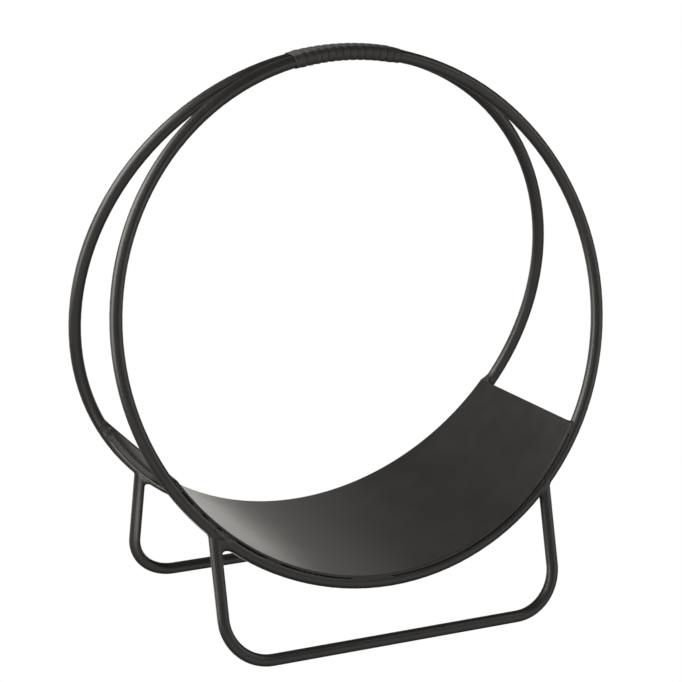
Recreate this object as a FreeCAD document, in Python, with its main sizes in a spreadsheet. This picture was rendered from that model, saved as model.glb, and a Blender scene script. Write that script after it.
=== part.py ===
"""A free-standing log holder: two leaning round-bar hoops, a rolled sheet tray between them, two bent bar
feet and one leather strip wound round both bars at the crown as a grip.

Millimetres, +Z up, front towards -Y, origin on the floor under the middle of the holder.
"""

import FreeCAD
import Part

import math
import os

import Sketcher
from FreeCAD import Placement, Rotation, Vector

# Driving sizes in millimetres, angles in degrees
DRIVING = {
    "hoop_radius": 250.0,  # centre line of each hoop
    "hoop_rod": 12.0,  # diameter of the hoops' bar
    "lean_angle": 12.4,  # each hoop's lean from upright
    "crown_gap": 0.2,  # between the two bars at the top
    "seam_gap": 2.0,  # root gap of the weld that closes a hoop
    "crown_bead": 24.0,  # length of the bead that joins the bars at the top
    "foot_rod": 11.5,  # diameter of the feet's bar
    "foot_width": 348.0,  # between the centre lines of a foot's two legs
    "leg_drop": 126.0,  # along a leg, from the hoop's centre line to the bar on the floor
    "foot_splay": 14.8,  # each foot's lean from upright
    "foot_bend": 45.0,  # centre line radius of a foot's corners
    "leg_fillet": 2.5,  # size of the weld round the top of a leg
    "tray_sheet": 2.0,  # thickness of the tray
    "tray_half_angle": 59.4,  # round the hoop, from its lowest point to the tray's end
    "tray_lap": 6.0,  # how far the sheet's edge passes the middle of the bar
    "stitch_inset": 0.3,  # from the sheet's edge back to a tray weld's face
    "stitch_toe_angle": 62.0,  # round the bar from the side under the sheet to a tray weld's foot
    "stitch_crown": 3.5,  # radius of a tray weld's rounded face
    "end_stitch": 16.0,  # length of the welds at the tray's four corners
    "outer_stitch": 58.0,  # length of the weld run nearest to the left end, seen from outside
    "outer_stitch_at": 45.5,  # its middle, in degrees from the hoop's lowest point
    "middle_stitch": 19.0,
    "middle_stitch_at": 29.0,
    "inner_stitch": 44.0,
    "inner_stitch_at": 5.0,
    "strip_width": 6.9,  # width of the leather that shows on each turn
    "strip_thickness": 1.3,
    "strip_clearance": 0.3,  # between the strip and the bars
    "turn_gap": 0.8,  # from one turn to the next at the bars' centre line
    "grip_turns": 14,
}

# Sizes that follow from the driving ones
WORKED = {
    "hoop_bar": "sizes.hoop_rod / 2",
    "foot_bar": "sizes.foot_rod / 2",
    "leg_x": "sizes.foot_width / 2",
    "junction_rise": "sqrt(sizes.hoop_radius ^ 2 - leg_x ^ 2)",
    "junction_z": "foot_bar + sizes.leg_drop * cos(sizes.foot_splay)",
    "hoop_z": "junction_z + junction_rise * cos(sizes.lean_angle)",
    "crown_y": "(sizes.hoop_rod + sizes.crown_gap) / 2",
    "hoop_y": "crown_y + sizes.hoop_radius * sin(sizes.lean_angle)",
    "junction_y": "hoop_y + junction_rise * sin(sizes.lean_angle)",
    "seam_angle": "sizes.seam_gap / sizes.hoop_radius * 180 / pi",
    "crown_z": "hoop_z + sizes.hoop_radius * cos(sizes.lean_angle)",
    "crown_bead_foot": "hoop_bar / 6",
    "crown_bead_top": "hoop_bar * 2 / 3",
    "collar_reach": "2.5 * sizes.hoop_rod",
    "tray_seat": "sizes.hoop_radius * cos(sizes.lean_angle) - hoop_bar",
    "tray_half_width": "(sizes.hoop_radius - hoop_bar) * sin(sizes.tray_half_angle)",
    "tray_rise": "tray_seat * (1 - cos(sizes.tray_half_angle))",
    "tray_roll": "(tray_half_width ^ 2 + tray_rise ^ 2) / (2 * tray_rise)",
    "tray_axis_z": "hoop_z - tray_seat + tray_roll",
    "tray_edge_mid": "hoop_y + sizes.tray_lap / cos(sizes.lean_angle)",
    "tray_edge_floor": "tray_edge_mid + hoop_z * tan(sizes.lean_angle)",
    "tray_blank": "tray_edge_floor + sizes.hoop_rod",
    "sheet_over_bar": "hoop_bar / cos(sizes.lean_angle) + sizes.tray_sheet / 2",
    "stitch_root_y": "sizes.tray_lap / 2",
    "stitch_root_z": "sqrt(hoop_bar ^ 2 - stitch_root_y ^ 2)",
    "stitch_heel_z": "sheet_over_bar - stitch_root_y * tan(sizes.lean_angle)",
    "stitch_lip_y": "sizes.tray_lap - sizes.stitch_inset",
    "stitch_lip_z": "sheet_over_bar - stitch_lip_y * tan(sizes.lean_angle)",
    "stitch_toe_y": "hoop_bar * sin(sizes.stitch_toe_angle)",
    "stitch_toe_z": "hoop_bar * cos(sizes.stitch_toe_angle)",
}

SIDES = {"front": -1, "rear": 1}
HANDS = {"left": -1, "right": 1}
ORIGIN = (-1, 1)
HALF_TURN_STEPS = 9
GAP_SAMPLES = 6

doc = FreeCAD.newDocument("log_holder")


def fill_sheet(name, cells, prefix):
    """Makes a spreadsheet with one aliased cell for each size.

    Args:
        name: the sheet's name in expressions.
        cells: the sizes, alias to number or formula.
        prefix: what each cell's text starts with, an equals sign for formulas.

    Returns:
        The spreadsheet.
    """
    table = doc.addObject("Spreadsheet::Sheet", name)
    for row, (alias, content) in enumerate(cells.items(), start=1):
        table.set(f"A{row}", alias)
        table.set(f"B{row}", f"{prefix}{content}")
        table.setAlias(f"B{row}", alias)
    doc.recompute()
    return table


sizes = fill_sheet("sizes", DRIVING, "")
worked = fill_sheet("worked", WORKED, "=")


def value(rule):
    """The number that a rule on the sheets' cells gives."""
    return float(worked.evalExpression(rule))


def sketch_on(body, name, role):
    """A sketch of a body's own, lying on one of its origin planes."""
    sketch = body.newObject("Sketcher::SketchObject", name)
    plane = next(feature for feature in body.Origin.OriginFeatures if feature.Role == role)
    sketch.AttachmentSupport = [(plane, "")]
    sketch.MapMode = "FlatFace"
    return sketch


def hold(sketch, kind, *places):
    """Adds a constraint without a size."""
    sketch.addConstraint(Sketcher.Constraint(kind, *places))


def on_level_axis(sketch, *place):
    """Keeps a point on the sketch's first axis, which Sketcher numbers -1."""
    hold(sketch, "PointOnObject", *place, -1)


def on_upright_axis(sketch, *place):
    """Keeps a point on the sketch's second axis, which Sketcher numbers -2."""
    hold(sketch, "PointOnObject", *place, -2)


def measure(sketch, kind, *places, rule):
    """Adds a constraint whose size follows a rule on the sheets' cells."""
    index = sketch.addConstraint(Sketcher.Constraint(kind, *places, value(rule)))
    sketch.setExpression(f"Constraints[{index}]", rule)


def measure_across(sketch, place, sign, rule):
    """Sets a point's distance from the origin along the first axis, to the side that sign gives."""
    places = (*ORIGIN, *place) if sign > 0 else (*place, *ORIGIN)
    measure(sketch, "DistanceX", *places, rule=rule)


def measure_up(sketch, place, sign, rule):
    """Sets a point's distance from the origin along the second axis, to the side that sign gives."""
    places = (*ORIGIN, *place) if sign > 0 else (*place, *ORIGIN)
    measure(sketch, "DistanceY", *places, rule=rule)


def arc_between(centre, start, end):
    """The arc round a centre from one point, against the clock, to another."""
    first, last = [math.atan2(point.y - centre.y, point.x - centre.x) for point in (start, end)]
    circle = Part.Circle(centre, Vector(0, 0, 1), centre.distanceToPoint(start))
    return Part.ArcOfCircle(circle, first, last if last > first else last + 2 * math.pi)


def lean(piece, sign, angle="sizes.lean_angle", y="worked.hoop_y", z="worked.hoop_z"):
    """Places a piece on its side of the holder and leans its top towards the middle."""
    piece.Placement = Placement(Vector(), Rotation(Vector(sign, 0, 0), 1))
    piece.setExpression("Placement.Base.y", f"{sign} * {y}")
    piece.setExpression("Placement.Base.z", z)
    piece.setExpression("Placement.Rotation.Angle", angle)


def ring_arc(label, sign, top, angle):
    """A stretch of a hoop's bar, turned about the hoop's axis and centred on its top or lowest point."""
    body = doc.addObject("PartDesign::Body", label)
    section = sketch_on(body, "bar_section", "YZ_Plane")
    centre = Vector(0, top * value("sizes.hoop_radius"), 0)
    section.addGeometry(Part.Circle(centre, Vector(0, 0, 1), value("worked.hoop_bar")))
    on_upright_axis(section, 0, 3)
    measure_up(section, (0, 3), top, "sizes.hoop_radius")
    measure(section, "Radius", 0, rule="worked.hoop_bar")
    turned = body.newObject("PartDesign::Revolution", "rolled_bar")
    turned.Profile = section
    turned.ReferenceAxis = (section, ["H_Axis"])
    turned.Midplane = True
    turned.setExpression("Angle", angle)
    lean(body, sign)
    return body


def bent_bar(label, sign):
    """A foot's bar before its legs are coped to the hoop: down, along the floor and up again."""
    body = doc.addObject("PartDesign::Body", label)
    route = sketch_on(body, "route", "XZ_Plane")
    side, drop, bend = value("worked.leg_x"), value("sizes.leg_drop"), value("sizes.foot_bend")
    corner_x, corner_z = side - bend, bend - drop
    left_corner = Part.Circle(Vector(-corner_x, corner_z, 0), Vector(0, 0, 1), bend)
    right_corner = Part.Circle(Vector(corner_x, corner_z, 0), Vector(0, 0, 1), bend)
    left, arc_left, floor, arc_right, right = range(5)
    route.addGeometry(Part.LineSegment(Vector(-side, 0, 0), Vector(-side, corner_z, 0)))
    route.addGeometry(Part.ArcOfCircle(left_corner, math.pi, 1.5 * math.pi))
    route.addGeometry(Part.LineSegment(Vector(-corner_x, -drop, 0), Vector(corner_x, -drop, 0)))
    route.addGeometry(Part.ArcOfCircle(right_corner, 1.5 * math.pi, 2 * math.pi))
    route.addGeometry(Part.LineSegment(Vector(side, corner_z, 0), Vector(side, 0, 0)))
    for before, after in ((left, arc_left), (arc_left, floor), (floor, arc_right), (arc_right, right)):
        hold(route, "Tangent", before, 2, after, 1)
    hold(route, "Vertical", left)
    hold(route, "Horizontal", floor)
    on_level_axis(route, left, 1)
    hold(route, "Symmetric", left, 1, right, 2, *ORIGIN)
    hold(route, "Equal", arc_left, arc_right)
    measure(route, "DistanceX", left, 1, right, 2, rule="sizes.foot_width")
    measure_up(route, (floor, 1), -1, "sizes.leg_drop")
    measure(route, "Radius", arc_left, rule="sizes.foot_bend")
    section = sketch_on(body, "bar_section", "XY_Plane")
    section.addGeometry(Part.Circle(Vector(-side, 0, 0), Vector(0, 0, 1), value("worked.foot_bar")))
    on_level_axis(section, 0, 3)
    measure_across(section, (0, 3), -1, "worked.leg_x")
    measure(section, "Radius", 0, rule="worked.foot_bar")
    doc.recompute()
    pipe = body.newObject("PartDesign::AdditivePipe", "bent_rod")
    pipe.Profile = section
    pipe.Spine = (route, [f"Edge{number}" for number in range(1, route.Shape.countElement("Edge") + 1)])
    lean(body, sign, "sizes.foot_splay", "worked.junction_y", "worked.junction_z")
    return body


def cut(label, base, tool):
    """One piece less another."""
    result = doc.addObject("Part::Cut", label)
    result.Base = base
    result.Tool = tool
    return result


def leg_weld(label, sign, hand, hoop, foot):
    """The fillet of weld round the top of a leg: what lies near both leg and hoop, outside of both."""
    sleeve = doc.addObject("Part::Cylinder", "leg_sleeve")
    sleeve.setExpression("Radius", "worked.foot_bar + sizes.leg_fillet")
    sleeve.setExpression("Height", "worked.collar_reach")
    below_y = "(worked.junction_y + worked.collar_reach * sin(sizes.foot_splay))"
    below_z = "worked.junction_z - worked.collar_reach * cos(sizes.foot_splay)"
    lean(sleeve, sign, "sizes.foot_splay", below_y, below_z)
    sleeve.setExpression("Placement.Base.x", f"{hand} * worked.leg_x")
    collar = doc.addObject("Part::Torus", "hoop_sleeve")
    collar.setExpression("Radius1", "sizes.hoop_radius")
    collar.setExpression("Radius2", "worked.hoop_bar + sizes.leg_fillet")
    lean(collar, sign)
    collar.Placement = Placement(Vector(), Rotation(Vector(1, 0, 0), 90))
    collar.setExpression("Placement.Rotation.Angle", f"90 + {sign} * sizes.lean_angle")
    shared = doc.addObject("Part::Common", "leg_weld_blank")
    shared.Base = sleeve
    shared.Tool = collar
    return cut(label, cut("leg_weld_on_hoop", shared, hoop), foot)


def crown_weld(label):
    """The bead in the valley between the two bars at the top, under the leather, its flanks on the bars."""
    body = doc.addObject("PartDesign::Body", label)
    section = sketch_on(body, "valley_section", "YZ_Plane")
    bar, apart = value("worked.hoop_bar"), value("worked.crown_y")
    heights = value("worked.crown_bead_foot"), value("worked.crown_bead_top")
    low, high = [Vector(apart - math.sqrt(bar ** 2 - height ** 2), height, 0) for height in heights]
    low_left, high_left = [Vector(-point.x, point.y, 0) for point in (low, high)]
    right, left, top, bottom = range(4)
    section.addGeometry(arc_between(Vector(apart, 0, 0), high, low))
    section.addGeometry(arc_between(Vector(-apart, 0, 0), low_left, high_left))
    section.addGeometry(Part.LineSegment(high_left, high))
    section.addGeometry(Part.LineSegment(low_left, low))
    for line, left_end, right_end in ((top, 2, 1), (bottom, 1, 2)):
        hold(section, "Coincident", line, 1, left, left_end)
        hold(section, "Coincident", line, 2, right, right_end)
        hold(section, "Horizontal", line)
    on_level_axis(section, right, 3)
    on_level_axis(section, left, 3)
    measure_across(section, (right, 3), 1, "worked.crown_y")
    measure_across(section, (left, 3), -1, "worked.crown_y")
    measure(section, "Radius", right, rule="worked.hoop_bar")
    measure(section, "Radius", left, rule="worked.hoop_bar")
    measure_up(section, (top, 1), 1, "worked.crown_bead_top")
    measure_up(section, (bottom, 1), 1, "worked.crown_bead_foot")
    bead = body.newObject("PartDesign::Pad", "crown_bead")
    bead.Profile = section
    bead.SideType = "Symmetric"
    bead.setExpression("Length", "sizes.crown_bead")
    body.setExpression("Placement.Base.z", "worked.crown_z")
    return body


def rolled_tray(label):
    """The tray: a sheet rolled to one radius, resting on the hoops, trimmed parallel to their planes."""
    body = doc.addObject("PartDesign::Body", label)
    section = sketch_on(body, "rolled_section", "XZ_Plane")
    roll, axis_z = value("worked.tray_roll"), value("worked.tray_axis_z")
    half_turn = math.asin(value("worked.tray_half_width") / roll)
    first, last = 1.5 * math.pi - half_turn, 1.5 * math.pi + half_turn
    under, over, left, right = range(4)
    centre = Vector(0, axis_z, 0)
    radii = {under: roll, over: roll - value("sizes.tray_sheet")}
    for radius in radii.values():
        section.addGeometry(Part.ArcOfCircle(Part.Circle(centre, Vector(0, 0, 1), radius), first, last))
    for turn in (first, last):
        ray = Vector(math.cos(turn), math.sin(turn), 0)
        section.addGeometry(Part.LineSegment(centre + ray * radii[under], centre + ray * radii[over]))
    for end, line in ((1, left), (2, right)):
        hold(section, "Coincident", under, end, line, 1)
        hold(section, "Coincident", over, end, line, 2)
        hold(section, "PointOnObject", under, 3, line)
    hold(section, "Coincident", under, 3, over, 3)
    on_upright_axis(section, under, 3)
    measure_up(section, (under, 3), 1, "worked.tray_axis_z")
    measure(section, "Radius", under, rule="worked.tray_roll")
    measure(section, "Radius", over, rule="worked.tray_roll - sizes.tray_sheet")
    measure_across(section, (under, 1), -1, "worked.tray_half_width")
    measure_across(section, (under, 2), 1, "worked.tray_half_width")
    blank = body.newObject("PartDesign::Pad", "rolled_blank")
    blank.Profile = section
    blank.SideType = "Symmetric"
    blank.setExpression("Length", "2 * worked.tray_blank")
    edges = sketch_on(body, "edge_trim", "YZ_Plane")
    outside, at_floor = value("worked.tray_blank"), value("worked.tray_edge_floor")
    at_hoop, height = value("worked.tray_edge_mid"), value("worked.hoop_z")
    for sign in SIDES.values():
        corners = [(at_floor, 0), (at_hoop, height), (outside, height), (outside, 0)]
        points = [Vector(sign * y, z, 0) for y, z in corners]
        start = edges.GeometryCount
        for here, there in zip(points, points[1:] + points[:1]):
            edges.addGeometry(Part.LineSegment(here, there))
        slope, top, wall, floor = range(start, start + 4)
        for before, after in ((slope, top), (top, wall), (wall, floor), (floor, slope)):
            hold(edges, "Coincident", before, 2, after, 1)
        hold(edges, "Horizontal", top)
        hold(edges, "Vertical", wall)
        on_level_axis(edges, slope, 1)
        on_level_axis(edges, floor, 1)
        measure_across(edges, (slope, 1), sign, "worked.tray_edge_floor")
        measure_across(edges, (slope, 2), sign, "worked.tray_edge_mid")
        measure_across(edges, (floor, 1), sign, "worked.tray_blank")
        measure_up(edges, (slope, 2), 1, "worked.hoop_z")
    trim = body.newObject("PartDesign::Pocket", "trimmed_edges")
    trim.Profile = edges
    trim.SideType = "Symmetric"
    trim.Type = "Length"
    trim.setExpression("Length", "4 * sizes.hoop_radius")
    return body


def stitch_section(sign):
    """The section of a tray weld at the hoop's lowest point, from the bar up into the sheet that trims it."""
    sketch = doc.addObject("Sketcher::SketchObject", "stitch_section")
    sketch.Placement = Placement(Vector(), Rotation(Vector(1, 1, 1), 120))
    bar_centre = Vector(0, -value("sizes.hoop_radius"), 0)
    corners = [("root_y", "root_z"), ("root_y", "heel_z"), ("lip_y", "lip_z"), ("toe_y", "toe_z")]
    root, heel, lip, toe = [
        bar_centre + Vector(sign * value(f"worked.stitch_{y}"), value(f"worked.stitch_{z}"), 0)
        for y, z in corners
    ]
    half_chord = (toe - lip) * 0.5
    inward = Vector(half_chord.y, -half_chord.x, 0).normalize() * sign
    depth = math.sqrt(value("sizes.stitch_crown") ** 2 - half_chord.Length ** 2)
    face_centre = lip + half_chord + inward * depth
    back, roof, face, bar = range(4)
    from_sheet, to_toe = (1, 2) if sign < 0 else (2, 1)
    face_ends, bar_ends = ((lip, toe), (root, toe)) if sign < 0 else ((toe, lip), (toe, root))
    sketch.addGeometry(Part.LineSegment(root, heel))
    sketch.addGeometry(Part.LineSegment(heel, lip))
    sketch.addGeometry(arc_between(face_centre, *face_ends))
    sketch.addGeometry(arc_between(bar_centre, *bar_ends))
    hold(sketch, "Coincident", back, 2, roof, 1)
    hold(sketch, "Coincident", roof, 2, face, from_sheet)
    hold(sketch, "Coincident", face, to_toe, bar, to_toe)
    hold(sketch, "Coincident", bar, from_sheet, back, 1)
    hold(sketch, "Vertical", back)
    on_upright_axis(sketch, bar, 3)
    measure_up(sketch, (bar, 3), -1, "sizes.hoop_radius")
    measure(sketch, "Radius", bar, rule="worked.hoop_bar")
    measure_across(sketch, (back, 1), sign, "worked.stitch_root_y")
    measure_up(sketch, (back, 2), -1, "sizes.hoop_radius - worked.stitch_heel_z")
    measure_across(sketch, (roof, 2), sign, "worked.stitch_lip_y")
    measure_up(sketch, (roof, 2), -1, "sizes.hoop_radius - worked.stitch_lip_z")
    measure_across(sketch, (face, to_toe), sign, "worked.stitch_toe_y")
    measure(sketch, "Radius", face, rule="sizes.stitch_crown")
    return sketch


def tray_welds(label, sign, tray, leg_welds):
    """The welds under one edge of the tray: one at each corner, three runs on the left seen from outside."""
    section = stitch_section(sign)
    runs = [
        ("sizes.end_stitch", "sizes.tray_half_angle", 1),
        ("sizes.outer_stitch", "sizes.outer_stitch_at", 1),
        ("sizes.middle_stitch", "sizes.middle_stitch_at", 1),
        ("sizes.inner_stitch", "sizes.inner_stitch_at", 1),
        ("sizes.end_stitch", "sizes.tray_half_angle", -1),
    ]
    beads = []
    for length, place, hand in runs:
        bead = doc.addObject("Part::Revolution", "stitch")
        bead.Source = section
        bead.Axis = Vector(0, 1, 0)
        bead.Solid = True
        bead.Symmetric = True
        bead.setExpression("Angle", f"{length} / (sizes.hoop_radius - worked.hoop_bar) * 180 / pi")
        bead.Placement = Placement(Vector(), Rotation(Vector(0, -sign * hand, 0), 1))
        bead.setExpression("Placement.Rotation.Angle", place)
        beads.append(bead)
    group = doc.addObject("Part::Compound", "stitches")
    group.Links = beads
    lean(group, sign)
    around = doc.addObject("Part::Compound", "leg_welds_beside")
    around.Links = leg_welds
    return cut(label, cut("stitches_under_sheet", group, tray), around)


def strip_stations():
    """Where sections lie in one turn of the strip: the bar, the angle round it and the share of the turn."""
    reach = value("worked.hoop_bar + sizes.strip_clearance + sizes.strip_thickness / 2")
    flat = 2 * value("worked.crown_y")
    half = math.pi * reach
    stations = []
    for bar, first_angle, before in ((1, 270, 0), (-1, 90, half + flat)):
        for step in range(HALF_TURN_STEPS + 1):
            share = step / HALF_TURN_STEPS
            stations.append((bar, first_angle + 180 * share, (before + half * share) / (2 * half + 2 * flat)))
    return reach, stations


def strip_sections():
    """The corners of the leather strip's sections, in order along its winding round both bars."""
    radius, lean_angle = value("sizes.hoop_radius"), math.radians(value("sizes.lean_angle"))
    half_width = value("sizes.strip_width") / 2
    half_thickness = value("sizes.strip_thickness") / 2
    turns = round(value("sizes.grip_turns"))
    pitch = value("sizes.strip_width + sizes.turn_gap") / radius
    reach, stations = strip_stations()
    sections = []
    for turn in range(turns):
        for bar, angle, share in stations:
            place = (turn + share - turns / 2) * pitch
            along = Vector(math.cos(place), 0, -math.cos(lean_angle) * math.sin(place)).normalize()
            above = Vector(-along.z, 0, along.x)
            bar_y = value("worked.crown_y") + radius * (1 - math.cos(place)) * math.sin(lean_angle)
            bar_z = value("worked.hoop_z") + radius * math.cos(lean_angle) * math.cos(place)
            outward = Vector(0, math.cos(math.radians(angle)), 0) + above * math.sin(math.radians(angle))
            middle = Vector(radius * math.sin(place), bar * bar_y, bar_z) + outward * reach
            across, through = along * half_width, outward * half_thickness
            corners = ((-1, -1), (1, -1), (1, 1), (-1, 1))
            sections.append([middle + across * u + through * v for u, v in corners])
    return sections, len(stations)


def least_gap(sections, per_turn):
    """The least gap between one turn's right edge and the next turn's left edge, measured on points."""
    def edge_points(first, corners):
        for here, there in zip(sections[first:], sections[first + 1:]):
            for corner in corners:
                for sample in range(GAP_SAMPLES):
                    yield here[corner] + (there[corner] - here[corner]) * (sample / GAP_SAMPLES)

    rights = list(edge_points(0, (1, 2)))
    lefts = list(edge_points(per_turn, (0, 3)))
    nearby = 2 * 2 * GAP_SAMPLES  # the points of two stretches, two corners each
    gaps = []
    for index, point in enumerate(rights[:len(lefts)]):
        for other in lefts[max(0, index - nearby):index + nearby]:
            gaps.append(point.distanceToPoint(other))
    return min(gaps)


def wound_grip(label):
    """The grip: one unbroken strip wound side by side round both bars, clear of them and of itself."""
    sections, per_turn = strip_sections()
    outlines = [Part.makePolygon(corners + corners[:1]) for corners in sections]
    strip = doc.addObject("Part::Feature", label)
    strip.Shape = Part.makeLoft(outlines, True, True)
    strip.Placement = Placement()
    middles = [(corners[0] + corners[2]) * 0.5 for corners in sections]
    length = sum(here.distanceToPoint(there) for here, there in zip(middles, middles[1:]))
    expected = length * value("sizes.strip_width * sizes.strip_thickness")
    print(f"grip strip: {length:.0f} mm long, volume {strip.Shape.Volume:.0f} of about {expected:.0f} mm3, "
          f"least gap between turns {least_gap(sections, per_turn):.2f} mm")
    return strip


def build():
    """Makes every sub-part and returns them in order."""
    nodes = []
    hoops = {}
    for side, sign in SIDES.items():
        hoops[side] = ring_arc(f"{side}_hoop", sign, 1, "360 - worked.seam_angle")
        nodes += [hoops[side], ring_arc(f"{side}_hoop_seam", sign, -1, "worked.seam_angle")]
    nodes.append(crown_weld("crown_weld"))
    leg_welds = {}
    for side, sign in SIDES.items():
        foot = cut(f"{side}_foot", bent_bar(f"{side}_foot_bar", sign), hoops[side])
        leg_welds[side] = [
            leg_weld(f"{side}_{hand}_foot_weld", sign, hand_sign, hoops[side], foot)
            for hand, hand_sign in HANDS.items()
        ]
        nodes += [foot, *leg_welds[side]]
    tray = rolled_tray("tray")
    nodes.append(tray)
    for side, sign in SIDES.items():
        nodes.append(tray_welds(f"{side}_tray_welds", sign, tray, leg_welds[side]))
    nodes.append(wound_grip("grip_wrap"))
    return nodes


def write(nodes):
    """Checks every object and each sub-part's shape, then writes one file for each sub-part."""
    doc.recompute()
    failed = [item.Label for item in doc.Objects if {"Invalid", "Error"} & set(item.State)]
    bad = [node.Label for node in nodes if node.Shape.isNull() or not node.Shape.isValid()]
    if failed or bad:
        raise RuntimeError(f"failed objects {failed}, bad shapes {bad}")
    os.makedirs("parts", exist_ok=True)
    for node in nodes:
        shape = node.Shape
        box = shape.optimalBoundingBox(False, False)
        shape.exportStep(f"parts/{node.Label}.step")
        print(f"{node.Label}: {len(shape.Solids)} solids, {shape.Volume:.1f} mm3, "
              f"x {box.XMin:.1f} to {box.XMax:.1f}, y {box.YMin:.1f} to {box.YMax:.1f}, "
              f"z {box.ZMin:.1f} to {box.ZMax:.1f}")


write(build())
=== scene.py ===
"""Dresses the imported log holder: powder-coated bars and tray, coated weld beads and a wound leather grip.

Metres, +Z up, front towards -Y, as in the frame. Angles along a hoop are counted from its lowest point.
"""

import logging
import math
from collections.abc import Sequence
from dataclasses import dataclass
from enum import Enum
from functools import cached_property

import bmesh
import bpy
from mathutils import Matrix, Vector


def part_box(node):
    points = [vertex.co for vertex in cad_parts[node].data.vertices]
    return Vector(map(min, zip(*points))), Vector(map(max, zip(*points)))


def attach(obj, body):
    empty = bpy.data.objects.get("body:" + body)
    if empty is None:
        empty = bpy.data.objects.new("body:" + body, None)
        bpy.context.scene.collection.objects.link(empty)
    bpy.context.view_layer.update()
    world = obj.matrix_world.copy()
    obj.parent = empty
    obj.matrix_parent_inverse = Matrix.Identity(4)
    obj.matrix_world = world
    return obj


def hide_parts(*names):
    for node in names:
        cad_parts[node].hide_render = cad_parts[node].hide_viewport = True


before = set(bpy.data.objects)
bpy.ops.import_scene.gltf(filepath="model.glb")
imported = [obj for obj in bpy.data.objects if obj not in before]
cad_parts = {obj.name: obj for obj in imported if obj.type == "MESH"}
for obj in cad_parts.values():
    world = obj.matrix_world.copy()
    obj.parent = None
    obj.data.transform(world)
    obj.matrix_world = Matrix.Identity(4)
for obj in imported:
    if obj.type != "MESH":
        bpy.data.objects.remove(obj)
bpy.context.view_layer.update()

BODY = "root"
LOG = logging.getLogger("log_holder")

Colour = tuple[float, float, float]


class Sign(Enum):
    """One of two ways along an axis, by its sign."""

    @property
    def word(self) -> str:
        """The word that node names hold."""
        return self.name.lower()


class Side(Sign):
    """The two hoops, by the sign of the Y axis that each stands towards."""

    FRONT = -1
    REAR = 1


class Hand(Sign):
    """The two ends of the tray and legs of a foot, by the sign of the X axis."""

    LEFT = -1
    RIGHT = 1


class Value:
    """One output socket of a node tree; arithmetic on it adds Math nodes to the tree."""

    def __init__(self, tree: "Tree", socket: bpy.types.NodeSocket) -> None:
        """Keeps the socket and the tree it lies in."""
        self.tree = tree
        self.socket = socket

    def of(self, output: str) -> "Value":
        """Another output of the same node."""
        return Value(self.tree, self.socket.node.outputs[output])

    def __add__(self, other: "Value | float") -> "Value":
        """The sum."""
        return self.tree.math("ADD", self, other)

    def __sub__(self, other: "Value | float") -> "Value":
        """The difference."""
        return self.tree.math("SUBTRACT", self, other)

    def __rsub__(self, other: float) -> "Value":
        """The difference from a number."""
        return self.tree.math("SUBTRACT", other, self)

    def __mul__(self, other: "Value | float") -> "Value":
        """The product."""
        return self.tree.math("MULTIPLY", self, other)

    def __truediv__(self, other: "Value | float") -> "Value":
        """The quotient."""
        return self.tree.math("DIVIDE", self, other)

    def __neg__(self) -> "Value":
        """The value with its sign turned."""
        return self * -1.0

    __radd__ = __add__


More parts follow.
